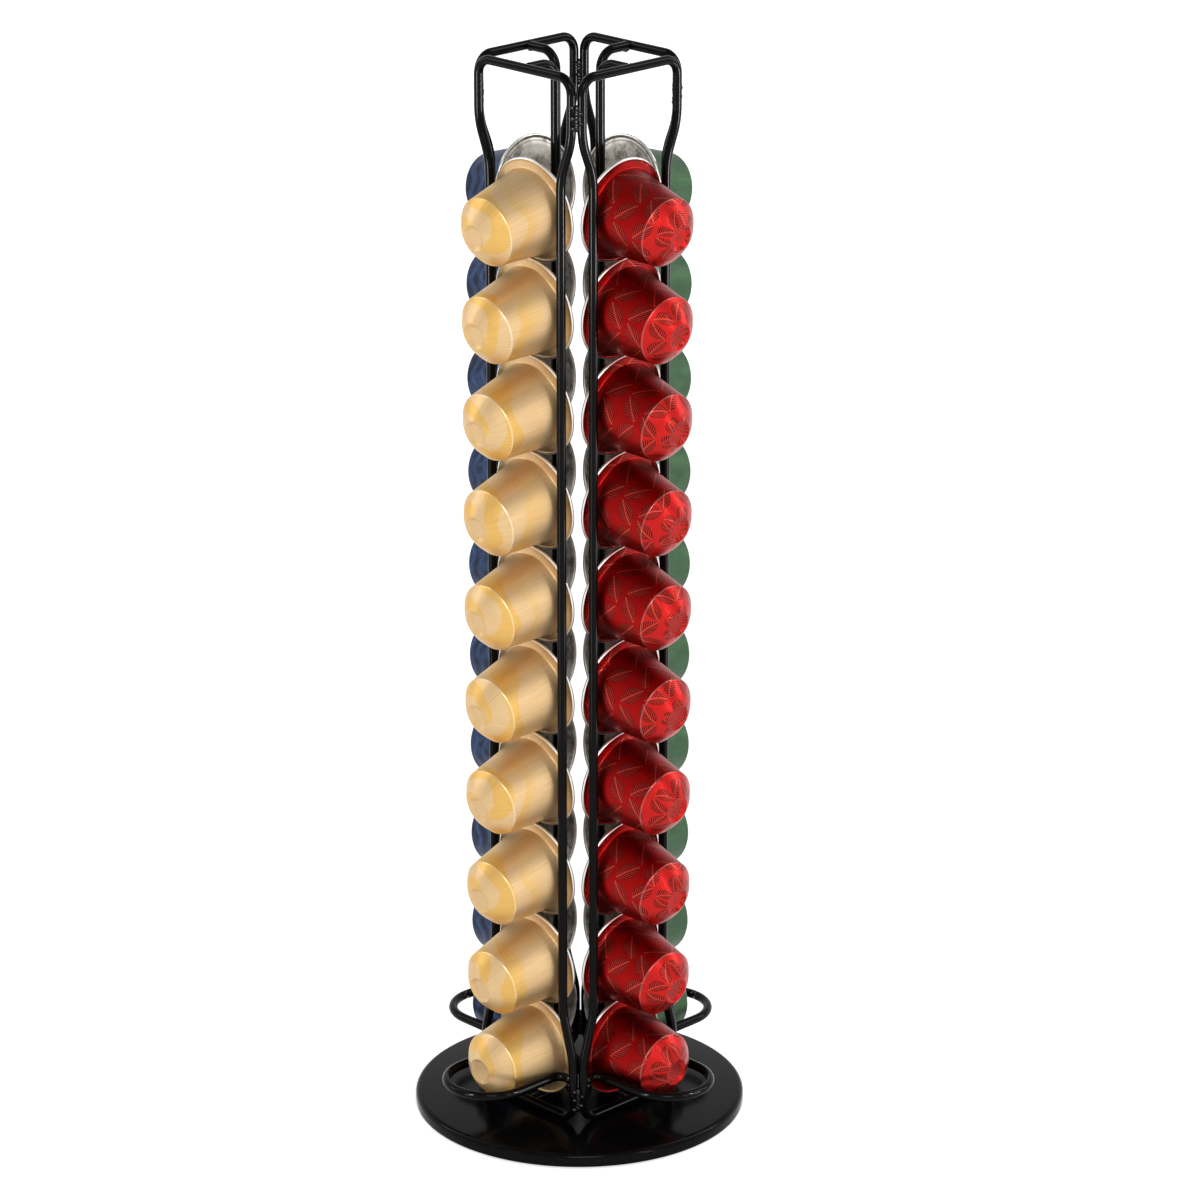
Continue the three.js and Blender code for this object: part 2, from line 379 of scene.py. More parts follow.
goldLook = {
    "colour": srgb(219, 186, 138), "metal": 0.85, "roughness": 0.4, "coat": 0.0, "shoulderWearAndHighlight": 0.26,
    "bandColour": srgb(222, 176, 84), "bandTurns": 2, "bandSlope": 6.0, "bend": (0.07, 0.0),
    "bandBend": 1.2, "bandRange": (0.1, 0.5), "bandShare": 0.75,
    "frontBend": 0.16, "frontShift": 0.08, "frontRange": (0.34, 0.5), "frontSpread": 0.3,
    "noseRange": (0.67, 0.61),
}


def goldCup(maker):  # soft bands that gather towards the front and leave out the nose
    look = goldLook
    u, v = cupAround(maker)
    seed = maker.capsuleSeed()
    bend = maker.noise(maker.capsulePlace(), *look["bend"])
    turns = u * look["bandTurns"] + v * look["bandSlope"] + bend * look["bandBend"] + seed
    phase = turns * 2 * math.pi
    front = maker.smooth(v + bend * look["frontBend"] - look["frontShift"], *look["frontRange"])
    band = maker.smooth(phase.math("SINE") + front * look["frontSpread"], *look["bandRange"])
    share = band * front * look["bandShare"] * maker.smooth(v, *look["noseRange"])
    return cupFinish(maker, maker.mix(share, look["colour"], look["bandColour"]), look)


redLook = {
    "ground": srgb(154, 6, 6), "noseGround": srgb(184, 30, 27), "noseRange": (0.522, 0.53),
    "metal": 0.95, "roughness": 0.3, "coat": 0.06, "shoulderWearAndHighlight": 0.09,
    "leafColour": srgb(92, 3, 5), "cellsAround": 10, "leafTurn": 0.7, "leafLength": 0.6,
    "leafWidth": 0.34, "leafRange": (0.0, 0.02), "leafShare": 0.9,
    "veinColour": srgb(228, 76, 62), "veinCount": 8.0, "veinLean": 1.1, "veinRange": (0.34, 0.44),
    "midribRange": (0.03, 0.015), "veinEdge": (0.01, 0.05), "veinShare": 0.75,
}


def redCup(maker):  # staggered rows of veined leaves, one leaf in each cell
    look = redLook
    u, v = cupAround(maker)
    rise = v * look["cellsAround"] + maker.capsuleSeed()
    row = rise.math("FLOOR")
    along = u * look["cellsAround"] + row.math("FLOORED_MODULO", 2.0) * 0.5
    cell = along.math("FLOOR") + row
    turn = (cell.math("FLOORED_MODULO", 2.0) * 2 - 1) * look["leafTurn"]
    x = along.math("FRACT") - 0.5
    y = rise.math("FRACT") - 0.5
    cosine = turn.math("COSINE")
    sine = turn.math("SINE")
    length = x * cosine + y * sine
    width = (y * cosine - x * sine).math("ABSOLUTE")
    reach = length / look["leafLength"]
    inside = (1 - reach * reach) * look["leafWidth"] - width
    leaf = maker.smooth(inside, *look["leafRange"])
    ribs = ((length + width * look["veinLean"]) * look["veinCount"]).math("PINGPONG", 0.5)
    veins = maker.smooth(ribs, *look["veinRange"])
    midrib = maker.smooth(width, *look["midribRange"])
    lines = veins.math("MAXIMUM", midrib) * maker.smooth(inside, *look["veinEdge"]) * look["veinShare"]
    ground = maker.mix(maker.smooth(v, *look["noseRange"]), look["ground"], look["noseGround"])
    leafy = maker.mix(leaf * look["leafShare"], ground, look["leafColour"])
    return cupFinish(maker, maker.mix(lines, leafy, look["veinColour"]), look)


greenLook = {
    "colour": srgb(72, 104, 74), "cloudColour": srgb(44, 72, 47), "cloud": (0.16, 2.0),
    "metal": 0.9, "roughness": 0.38, "coat": 0.0, "shoulderWearAndHighlight": 0.12,
}


def greenCup(maker):
    look = greenLook
    cloud = maker.noise(maker.capsulePlace(), *look["cloud"])
    return cupFinish(maker, maker.mix(cloud, look["colour"], look["cloudColour"]), look)


blueLook = {
    "ground": srgb(33, 54, 89), "dark": srgb(8, 15, 35), "light": srgb(56, 80, 121),
    "metal": 0.9, "roughness": 0.36, "coat": 0.0, "shoulderWearAndHighlight": 0.1,
    "wavesAround": 8, "waveLean": 2, "waveHeight": 0.22, "linesAlong": 15.0, "patch": (0.22, 2.0),
    "darkLine": (0.2, 0.3), "darkPatch": (0.4, 0.55), "darkShare": 0.85,
    "lightLine": (0.12, 0.05), "lightPatch": (0.55, 0.42), "lightShare": 0.7,
}


def blueCup(maker):  # rows of wave lines that fade in and out
    look = blueLook
    u, v = cupAround(maker)
    seed = maker.capsuleSeed()
    phase = (u * look["wavesAround"] + v * look["waveLean"] + seed) * 2 * math.pi
    swing = phase.math("SINE") * look["waveHeight"]
    lines = (v * look["linesAlong"] + swing + seed).math("PINGPONG", 0.5)
    patch = maker.noise(maker.capsulePlace(), *look["patch"])
    dark = maker.smooth(lines, *look["darkLine"]) * maker.smooth(patch, *look["darkPatch"])
    light = maker.smooth(lines, *look["lightLine"]) * maker.smooth(patch, *look["lightPatch"])
    shaded = maker.mix(dark * look["darkShare"], look["ground"], look["dark"])
    return cupFinish(maker, maker.mix(light * look["lightShare"], shaded, look["light"]), look)


rimLook = {
    "colour": srgb(242, 238, 232), "grainColour": srgb(206, 202, 196), "metal": 1.0, "ior": 1.5,
    "grain": (2.6, 3.0, 0.6), "bump": (0.2, 0.03 * mm), "roughness": 0.22, "roughnessSpread": 0.2,
}


def rimAluminium(maker):
    return grained(maker, maker.capsulePlace(), rimLook)


foilLook = {
    "colour": srgb(198, 192, 184), "dirtColour": srgb(80, 78, 75), "metal": 0.85, "seedShift": 60,
    "warp": (0.3, 3.0, 0.7), "smudgeWarp": (5, 3), "smudge": (0.15, 5.0, 0.75),
    "smudgeRange": (0.45, 0.62), "smudgeShare": 0.7, "smudgeRelief": 0.5,
    "creaseWarp": 3, "creaseScale": 0.3, "creaseRelief": 0.6,
    "scuffStretch": (0.3, 2.2, 1), "scuff": (0.9, 4.0, 0.7), "scuffRange": (0.54, 0.66),
    "scuffShare": 0.3, "bump": (0.55, 0.2 * mm), "roughness": 0.34, "roughnessSpread": 0.22,
    "ringColour": srgb(104, 102, 98), "ringRadius": 16.1, "ringRange": (0.35, 0.14), "ringShare": 0.7,
}


def lidFoil(maker):  # thin foil with smudges, fine creases and scuffs
    look = foilLook
    seed = maker.capsuleSeed() * look["seedShift"]
    place = maker.shift(maker.capsulePlace(), maker.join(seed, seed, 0.0))
    warp = maker.noise(place, *look["warp"])
    warpX, warpY = (warp * share for share in look["smudgeWarp"])
    smudge = maker.noise(maker.shift(place, maker.join(warpX, warpY, 0.0)), *look["smudge"])
    creasePlace = maker.shift(place, maker.join(warp * look["creaseWarp"], 0.0, 0.0))
    creases = maker.cells(creasePlace, look["creaseScale"])
    scuffs = maker.noise(maker.stretch(place, look["scuffStretch"]), *look["scuff"])
    smudged = maker.smooth(smudge, *look["smudgeRange"]) * look["smudgeShare"]
    dirt = smudged + maker.smooth(scuffs, *look["scuffRange"]) * look["scuffShare"]
    dirty = maker.mix(dirt, look["colour"], look["dirtColour"])
    x, y = maker.split(maker.capsulePlace(), "XY")
    fromRing = (maker.fromAxis(x, y) - look["ringRadius"]).math("ABSOLUTE")
    ring = maker.smooth(fromRing, *look["ringRange"]) * look["ringShare"]
    relief = creases * look["creaseRelief"] + smudge * look["smudgeRelief"]
    return {
        "Base Color": maker.mix(ring, dirty, look["ringColour"]),
        "Metallic": look["metal"],
        "Roughness": look["roughness"] + smudge * look["roughnessSpread"],
        "Normal": maker.bump(relief, *look["bump"]),
    }


finishes = {
    "wirePaint": wirePaint, "weldSeam": weldSeam, "discEnamel": discEnamel,
    "plateSteel": plateSteel, "padRubber": padRubber, "glideNylon": glideNylon,
    "rivetZinc": rivetZinc, "rimAluminium": rimAluminium, "lidFoil": lidFoil,
    "goldCup": goldCup, "redCup": redCup, "greenCup": greenCup, "blueCup": blueCup,
}
materials = {name: makeMaterial(name, build) for name, build in finishes.items()}
print("finishes made:", len(materials))


# Geometry Nodes trees, and the way their result becomes a plain mesh
class ShapeTree(Maker):
    def __init__(self, name, inputs):
        super().__init__(bpy.data.node_groups.new(name, "GeometryNodeTree"))
        face = self.tree.interface
        face.new_socket("Geometry", in_out="OUTPUT", socket_type="NodeSocketGeometry")
        for socketName, kind in {"Geometry": "NodeSocketGeometry", **inputs}.items():
            face.new_socket(socketName, in_out="INPUT", socket_type=kind)
        self.start = self.tree.nodes.new("NodeGroupInput")

    def given(self, name):
        return Flow(self, self.start.outputs[name])

    def named(self, name, kind="FLOAT"):
        settings = {"data_type": kind}
        return self.node("GeometryNodeInputNamedAttribute", settings, {"Name": name}, "Attribute")

    def random(self, low, high, seed):
        return self.node("FunctionNodeRandomValue", None, {2: low, 3: high, "Seed": seed}, 1)

    def close(self, shape, parts):  # parts are pairs of a material and the faces that take it
        shape = self.node("GeometryNodeSetShadeSmooth", None, {0: shape})
        shape = self.node("GeometryNodeRealizeInstances", None, {0: shape})
        for material, faces in parts:
            inputs = {"Geometry": shape, "Material": material}
            if faces is not None:
                inputs["Selection"] = faces
            shape = self.node("GeometryNodeSetMaterial", None, inputs)
        self.node("NodeGroupOutput", None, {0: shape})


def addObject(name, data):
    added = bpy.data.objects.new(name, data)
    bpy.context.scene.collection.objects.link(added)
    return added


def pathMesh(name, points, edges, attribute, values):  # each point carries one value
    mesh = bpy.data.meshes.new(name)
    mesh.from_pydata(points, edges, [])
    mesh.attributes.new(attribute, "FLOAT", "POINT").data.foreach_set("value", values)
    return mesh


def grow(name, mesh, tree, values):
    piece = addObject(name, mesh)
    modifier = piece.modifiers.new("shape", "NODES")
    modifier.node_group = tree
    for item in tree.interface.items_tree:
        if item.in_out == "INPUT" and item.name in values:
            modifier[item.identifier] = values[item.name]
    graph = bpy.context.evaluated_depsgraph_get()
    plain = bpy.data.meshes.new_from_object(piece.evaluated_get(graph), preserve_all_data_layers=True,
                                            depsgraph=graph)
    plain.name = name
    if len(plain.materials) > 1 and plain.materials[0] is None:
        plain.materials.pop(index=0)  # the points' own empty slot
    piece.modifiers.clear()
    piece.data = plain
    return piece


def settle(piece, body, slot, *nodes):
    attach(piece, body)
    if nodes:
        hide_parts(*nodes)


# The wire frame. Its reach comes from the solids' boxes.
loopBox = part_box("front_loop_1")
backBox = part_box("back_wire_1")
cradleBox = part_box("cradle_1")
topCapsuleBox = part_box("capsule_1_10")
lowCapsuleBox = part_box("capsule_1_01")
wireRadius = (loopBox[1].y - loopBox[0].y) / 2
wires = {
    "railOut": -(loopBox[0].y + loopBox[1].y) / 2,
    "spreadSide": loopBox[1].x - wireRadius,
    "legSide": 17 * mm,
    "barLevel": loopBox[0].z + wireRadius,
    "topLevel": loopBox[1].z - wireRadius,
    "backOut": -(backBox[1].y + wireRadius),
    "weldOut": -backBox[0].y,
    "cradleTip": -(cradleBox[0].y + wireRadius),
    "cradleLevel": (cradleBox[0].z + cradleBox[1].z) / 2,
    "cradleWeld": cradleBox[1].x,
    "cradleArm": 15.09 * mm,
    "upperJogDrop": 3.45 * mm, "upperJogRise": 12.6 * mm,  # below the top capsule's rim
    "lowerJogLift": 19.6 * mm, "lowerJogRise": 17.6 * mm,  # above the lowest capsule's nose
    "cornerRadius": 5.5 * mm, "backCornerRadius": 6 * mm, "jogRadius": 25 * mm,
    "flareRadius": 3 * mm, "tipRadiusShare": 0.999,
    "bendSteps": 12, "wireSides": 28,
}


def makeBentWireTree():  # a polyline with a bend radius at each point becomes round wire
    maker = ShapeTree("bentWire", {
        "Wire radius": "NodeSocketFloat", "Bend steps": "NodeSocketInt", "Wire sides": "NodeSocketInt",
        "Material": "NodeSocketMaterial",
    })
    line = maker.node("GeometryNodeMeshToCurve", None, {0: maker.given("Geometry")})
    bent = maker.node("GeometryNodeFilletCurve", {"mode": "POLY"}, {
        "Curve": line, "Count": maker.given("Bend steps"), "Radius": maker.named("bendRadius"),
    })
    ring = maker.node("GeometryNodeCurvePrimitiveCircle", None, {
        "Resolution": maker.given("Wire sides"), "Radius": maker.given("Wire radius"),
    })
    wire = maker.node("GeometryNodeCurveToMesh", None, {
        "Curve": bent, "Profile Curve": ring, "Fill Caps": True,
    })
    maker.close(wire, [(maker.given("Material"), None)])
    return maker.tree


def mirrored(half):
    return half + [(-side, *rest) for side, *rest in reversed(half)]


def bentWire(name, column, corners, closed=False):  # corners are (side, out, level, bend radius)
    count = len(corners)
    points = [columnPoint(column, *corner[:3]) for corner in corners]
    edges = [(i, (i + 1) % count) for i in range(count if closed else count - 1)]
    mesh = pathMesh(name, points, edges, "bendRadius", [corner[3] for corner in corners])
    return grow(name, mesh, bentWireTree, {
        "Wire radius": wireRadius, "Bend steps": wires["bendSteps"], "Wire sides": wires["wireSides"],
        "Material": materials["wirePaint"],
    })


def frontLoop(column):
    w = wires
    spread, leg, out, jog = w["spreadSide"], w["legSide"], w["railOut"], w["jogRadius"]
    low = lowCapsuleBox[0].z + w["lowerJogLift"]
    high = topCapsuleBox[1].z - w["upperJogDrop"]
    half = [
        (spread, out, w["barLevel"], w["cornerRadius"]),
        (spread, out, low, jog),
        (leg, out, low + w["lowerJogRise"], jog),
        (leg, out, high, jog),
        (spread, out, high + w["upperJogRise"], jog),
        (spread, out, w["topLevel"], w["cornerRadius"]),
    ]
    return bentWire(f"loop_{columns[column]}", column, mirrored(half), closed=True)


def backWire(column):
    w = wires
    corners = [
        (0, w["weldOut"], w["barLevel"], 0), (0, w["backOut"], w["barLevel"], w["backCornerRadius"]),
        (0, w["backOut"], w["topLevel"], w["backCornerRadius"]), (0, w["weldOut"], w["topLevel"], 0),
    ]
    return bentWire(f"back_{columns[column]}", column, corners)


def cradle(column):
    w = wires
    arm, level = w["cradleArm"], w["cradleLevel"]
    half = [
        (w["cradleWeld"], w["railOut"], level, 0),
        (arm, w["railOut"], level, w["flareRadius"]),
        (arm, w["cradleTip"], level, arm * w["tipRadiusShare"]),
    ]
    return bentWire(f"cradle_{columns[column]}", column, mirrored(half))


bentWireTree = makeBentWireTree()
for column in columns:
    settle(frontLoop(column), "carousel", "wire_paint", f"front_loop_{column}")
    settle(backWire(column), "carousel", "wire_paint", f"back_wire_{column}")
    settle(cradle(column), "carousel", "wire_paint", f"cradle_{column}")
print("wires bent")


# Weld beads: short runs of overlapping drops, with lumps and spatter round them
welds = {
    "spacing": 0.5 * mm, "seed": 7, "jitter": 0.16 * mm, "dropSegments": 10, "dropRings": 6,
    "dropSizes": (0.84, 1.06),
    "cornerRun": (363 * mm, 370 * mm), "footRun": (11 * mm, 18 * mm), "cornerBead": 1.0 * mm,
    "grooveOffset": 0.75 * mm, "lumpReach": 1.25 * mm, "lumpSide": 1.2 * mm, "lumpBead": 0.72 * mm,
    "lumpSpacing": 3.4 * mm, "lumpStarts": {-1: 0.05, 1: 0.55}, "lumpLength": 0.2 * mm,
    "lumpSizes": {1: 1.3, 2: 0.7, 3: 1.0, 4: 0.7},  # by column
    "collarBead": 1.72 * mm, "collarRun": 0.45 * mm, "collarDrop": 0.35 * mm,
    "footBead": 0.55 * mm, "footSide": 11 * mm, "footLength": 3 * mm,
    "spatterBead": 0.34 * mm, "spatterSides": (-2.3 * mm, 1.7 * mm), "spatterLength": 0.1 * mm,
    "spatterTurn": math.radians(40),
}


def makeWeldTree():
    maker = ShapeTree("weldBeads", {
        "Spacing": "NodeSocketFloat", "Jitter": "NodeSocketFloat", "Seed": "NodeSocketInt",
        "Material": "NodeSocketMaterial",
    })
    line = maker.node("GeometryNodeMeshToCurve", None, {0: maker.given("Geometry")})
    dots = maker.node("GeometryNodeCurveToPoints", {"mode": "LENGTH"}, {
        "Curve": line, "Length": maker.given("Spacing"),
    })
    stray = maker.node("FunctionNodeRandomValue", {"data_type": "FLOAT_VECTOR"}, {
        0: (-1, -1, -1), 1: (1, 1, 1), "Seed": maker.given("Seed"),
    })
    jitter = maker.given("Jitter")
    dots = maker.node("GeometryNodeSetPosition", None, {
        "Geometry": dots, "Offset": maker.stretch(stray, maker.join(jitter, jitter, jitter)),
    })
    drop = maker.node("GeometryNodeMeshUVSphere", None, {
        "Segments": welds["dropSegments"], "Rings": welds["dropRings"], "Radius": 1.0,
    })
    size = maker.named("beadRadius") * maker.random(*welds["dropSizes"], maker.given("Seed"))
    beads = maker.node("GeometryNodeInstanceOnPoints", None, {
        "Points": dots, "Instance": drop, "Scale": maker.join(size, size, size),
    })
    maker.close(beads, [(maker.given("Material"), None)])
    return maker.tree


def cornerWeld(column):  # where the legs of two neighbouring loops touch
    middle = (wires["railOut"] + wires["spreadSide"]) / 2
    half = math.sqrt(0.5)
    bead = welds["lumpBead"] * welds["lumpSizes"][column]

    def spot(reach, side, level):  # reach is outwards from the corner, side is across it
        return columnPoint(column, middle + (reach + side) * half, middle + (reach - side) * half, level)

    runs = []
    for low, high in (welds["cornerRun"], welds["footRun"]):
        for reach in (-welds["grooveOffset"], welds["grooveOffset"]):
            runs.append(([spot(reach, 0, low), spot(reach, 0, high)], welds["cornerBead"]))
        for sign, start in welds["lumpStarts"].items():
            level = low + start * welds["lumpSpacing"]
            while level < high:
                place = (welds["lumpReach"], sign * welds["lumpSide"])
                runs.append(([spot(*place, level), spot(*place, level + welds["lumpLength"])], bead))
                level += welds["lumpSpacing"]
    return runs


def columnWelds(column):
    w = wires
    runs = []
    for level in (w["barLevel"], w["topLevel"] - welds["collarDrop"]):  # the back wire on the bars
        start = w["weldOut"] - welds["collarRun"] / 2
        ends = [columnPoint(column, 0, out, level) for out in (start, start + welds["collarRun"])]
        runs.append((ends, welds["collarBead"]))
    for side in welds["spatterSides"]:
        out = w["railOut"] - wireRadius * math.cos(welds["spatterTurn"])
        level = w["topLevel"] + wireRadius * math.sin(welds["spatterTurn"])
        ends = [columnPoint(column, side + step, out, level) for step in (0, welds["spatterLength"])]
        runs.append((ends, welds["spatterBead"]))
    for sign in (-1, 1):  # the cradle's ends on the legs, and the lower bar on the disc
        start = w["cradleWeld"] - welds["collarRun"] / 2
        ends = [columnPoint(column, sign * side, w["railOut"], w["cradleLevel"])
                for side in (start, start + welds["collarRun"])]
        runs.append((ends, welds["collarBead"]))
        feet = [columnPoint(column, sign * side, w["railOut"], w["barLevel"] - wireRadius)
                for side in (welds["footSide"], welds["footSide"] + welds["footLength"])]
        runs.append((feet, welds["footBead"]))
    return runs


weldTree = makeWeldTree()
runs = [run for column in columns for run in cornerWeld(column) + columnWelds(column)]
weldPoints = [point for ends, bead in runs for point in ends]
weldEdges = [(2 * i, 2 * i + 1) for i in range(len(runs))]
weldRadii = [bead for ends, bead in runs for point in ends]
weldMesh = pathMesh("weld_beads", weldPoints, weldEdges, "beadRadius", weldRadii)
weldPiece = grow("weld_beads", weldMesh, weldTree, {
    "Spacing": welds["spacing"], "Jitter": welds["jitter"], "Seed": welds["seed"],
    "Material": materials["weldSeam"],
})
settle(weldPiece, "carousel", "wire_paint")
print("welds laid:", len(runs))


# Turned shapes: an outline of rounded corners, spun round Z. Each outline point is (radius, level,
# region), and a region is the part of the capsule that takes one material.
regionNumbers = {"cup": 0, "curl": 1, "lid": 2}


def roundedOutline(corners, steps):  # corners are (radius, level, rounding)
    outline = []
    for index, (radius, level, rounding) in enumerate(corners):
        corner = Vector((radius, level))
        if not rounding:
            outline.append((radius, level, regionNumbers["cup"]))
            continue
        before = Vector(corners[index - 1][:2])
        after = Vector(corners[(index + 1) % len(corners)][:2])
        inward = (before - corner).normalized()
        onward = (after - corner).normalized()
        turn = math.pi - inward.angle(onward)
        cut = rounding * math.tan(turn / 2)
        centre = corner + (inward + onward).normalized() * rounding / math.cos(turn / 2)
        first = corner + inward * cut - centre
        last = corner + onward * cut - centre
        for step in range(steps + 1):
            spot = centre + first.slerp(last, step / steps) * rounding  # slerp gives a unit vector
            outline.append((spot.x, spot.y, regionNumbers["cup"]))
    return outline


def turned(name, outline, segments, closed):
    spots, rings, faces, faceRegions, uvs = [], [], [], [], []
    unit = 2 * math.pi * cupLook["turnRadius"] * mm
    travelled = [0.0]
    for (r1, z1, _), (r2, z2, _) in zip(outline, outline[1:]):
        travelled.append(travelled[-1] + math.hypot(r2 - r1, z2 - z1))
    for radius, level, _ in outline:
        if not radius:
            rings.append([len(spots)] * (segments + 1))
            spots.append((0, 0, level))
            continue
        first = len(spots)
        for step in range(segments):
            angle = 2 * math.pi * step / segments
            spots.append((radius * math.cos(angle), radius * math.sin(angle), level))
        rings.append([first + step % segments for step in range(segments + 1)])
    pairs = list(zip(range(len(outline) - 1), range(1, len(outline))))
    if closed:
        pairs.append((len(outline) - 1, 0))
    for low, high in pairs:
        for step in range(segments):
            loop = [rings[low][step], rings[low][step + 1], rings[high][step + 1], rings[high][step]]
            spread = [(step, low), (step + 1, low), (step + 1, high), (step, high)]
            kept = [i for i in range(4) if loop[i] != loop[i - 1]]
            faces.append([loop[i] for i in kept])
            faceRegions.append(outline[high][2])
            uvs.extend((spread[i][0] / segments, travelled[spread[i][1]] / unit) for i in kept)
    mesh = bpy.data.meshes.new(name)
    mesh.from_pydata(spots, [], faces)
    layer = mesh.uv_layers.new(name="UVMap")
    layer.data.foreach_set("uv", [value for uv in uvs for value in uv])
    mesh.attributes.new("region", "INT", "FACE").data.foreach_set("value", faceRegions)
    place = mesh.attributes.new("capsulePlace", "FLOAT_VECTOR", "POINT")
    place.data.foreach_set("vector", [value / mm for spot in spots for value in spot])
    mesh.polygons.foreach_set("use_smooth", [True] * len(faces))
    return mesh


# The base, from the table up
base = {
    "segments": 192, "roundSteps": 6,
    "sheet": 1 * mm, "edgeRadius": 1.8 * mm, "hemRadius": 0.42 * mm, "holeRounding": 0.2 * mm,
    "padWidth": 18 * mm, "glideWidth": 10 * mm, "ringRounding": 0.3 * mm,
    "shaftRadius": 2.5 * mm, "shaftGap": 0.3 * mm, "headGap": 0.3 * mm, "lowerHead": 0.7 * mm,
    "headRounding": 0.3 * mm, "seatRounding": 0.2 * mm,
    "domeSide": (0.9, 0.2 * mm, 1.2 * mm), "domeTop": (0.4, 0, 2.5 * mm),  # share, drop, rounding
}
holeRadius = base["shaftRadius"] + base["shaftGap"]


def turnedPiece(name, corners, material, closed=True):
    mesh = turned(name, roundedOutline(corners, base["roundSteps"]), base["segments"], closed)
    mesh.materials.append(materials[material])
    return addObject(name, mesh)


def ringCorners(node, width=None):  # with no width, the ring reaches in to the rivet's hole
    low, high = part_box(node)
    inner = high.x - width if width else holeRadius
    rounding = base["ringRounding"]
    return [(inner, low.z, rounding), (high.x, low.z, rounding),
            (high.x, high.z, rounding), (inner, high.z, rounding)]


def discCorners():
    low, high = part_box("turntable_disc")
    outer, inner = high.x, high.x - base["sheet"]
    under = high.z - base["sheet"]
    return [
        (holeRadius, under, base["holeRounding"]), (inner, under, base["edgeRadius"] - base["sheet"]),
        (inner, low.z, base["hemRadius"]), (outer, low.z, base["hemRadius"]),
        (outer, high.z, base["edgeRadius"]), (holeRadius, high.z, base["holeRounding"]),
    ]


def rivetCorners():
    low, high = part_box("pivot_rivet")
    head, shaft, rounding = high.x, base["shaftRadius"], base["seatRounding"]
    lowerSeat = low.z + base["lowerHead"]
    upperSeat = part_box("turntable_disc")[1].z + base["headGap"]
    dome = [(head * share, high.z - drop, bend)
            for share, drop, bend in (base["domeSide"], base["domeTop"])]
    return [
        (0, low.z, 0), (head, low.z, base["headRounding"]), (head, lowerSeat, rounding),
        (shaft, lowerSeat, rounding), (shaft, upperSeat, rounding), (head, upperSeat, rounding),
        *dome, (0, high.z, 0),
    ]


discPiece = turnedPiece("disc", discCorners(), "discEnamel")
platePiece = turnedPiece("plate", ringCorners("base_plate"), "plateSteel")
padPiece = turnedPiece("pad", ringCorners("non_slip_pad", base["padWidth"]), "padRubber")
glidePiece = turnedPiece("glide", ringCorners("glide_ring", base["glideWidth"]), "glideNylon")
rivetPiece = turnedPiece("rivet", rivetCorners(), "rivetZinc", closed=False)
settle(discPiece, "carousel", "disc_enamel", "turntable_disc")
settle(platePiece, "base", "base_steel", "base_plate")
settle(padPiece, "base", "rubber_pad", "non_slip_pad")
settle(glidePiece, "base", "nylon", "glide_ring")
settle(rivetPiece, "base", "rivet_steel", "pivot_rivet")
print("base turned")


# Capsules. The lid is at level 0 and the nose points up, until the tree lays each one in its column.
capsule = {
    "rimRadius": 18.5 * mm, "curlRadius": 0.58 * mm, "curlLevel": 0.6 * mm,
    "curlSweep": (-155, 145), "curlSteps": 14, "bareTurn": 88,  # degrees round the curl
    "sealLevel": 0.42 * mm, "lidBulge": 0.5 * mm, "lidSteps": 9, "lidShare": 0.94, "lidOverlap": 0.8,
    "lidStep": ((0.955, -0.02 * mm), (0.965, 0.1 * mm), (1, 0.1 * mm)),  # share of the edge, rise
    "flangeInset": 0.05 * mm, "flangeRise": 0.32 * mm,
    "bodyRoot": (15 * mm, 1.5 * mm), "shoulder": (12 * mm, 22.8 * mm),  # corners as (radius, level)
    "nose": (4.6 * mm, 28.8 * mm), "recess": (3.3 * mm, 28.0 * mm), "recessDip": 0.1 * mm,
    "coneBulge": (0.2925 * mm, 0.342 * mm),
    "rootRounding": 0.7 * mm, "shoulderRounding": 0.9 * mm, "coneRounding": 14 * mm,
    "noseRounding": 0.4 * mm, "recessRounding": 0.35 * mm,
    "segments": 96, "roundSteps": 7, "seed": 11, "columnSeed": 10, "printSeed": 50,
    "stackDroop": math.radians(9.5), "lowestDroop": math.radians(3.5),
}


def capsuleOutline():
    c = capsule
    curlOut = c["rimRadius"] - c["curlRadius"]
    lidEdge = curlOut - c["curlRadius"] * c["lidOverlap"]
    seal, lid = c["sealLevel"], regionNumbers["lid"]
    outline = [(0, seal - c["lidBulge"], lid)]
    for step in range(1, c["lidSteps"]):
        share = step / c["lidSteps"]
        level = seal - c["lidBulge"] * (1 - share ** 2)
        outline.append((lidEdge * c["lidShare"] * share, level, lid))
    outline += [(lidEdge * share, seal + rise, lid) for share, rise in c["lidStep"]]
    first, last = c["curlSweep"]
    for step in range(c["curlSteps"] + 1):
        turn = first + (last - first) * step / c["curlSteps"]
        angle = math.radians(turn)
        radius = curlOut + c["curlRadius"] * math.cos(angle)
        level = c["curlLevel"] + c["curlRadius"] * math.sin(angle)
        outline.append((radius, level, regionNumbers["curl" if turn < c["bareTurn"] else "cup"]))
    coneMiddle = [(low + high) / 2 + bulge
                  for low, high, bulge in zip(c["shoulder"], c["nose"], c["coneBulge"])]
    corners = [
        (lidEdge - c["flangeInset"], c["curlLevel"] + c["flangeRise"], 0),
        (*c["bodyRoot"], c["rootRounding"]),
        (*c["shoulder"], c["shoulderRounding"]),
        (*coneMiddle, c["coneRounding"]),
        (*c["nose"], c["noseRounding"]),
        (*c["recess"], c["recessRounding"]),
        (0, c["recess"][1] - c["recessDip"], 0),
    ]
    return outline + roundedOutline(corners, c["roundSteps"])


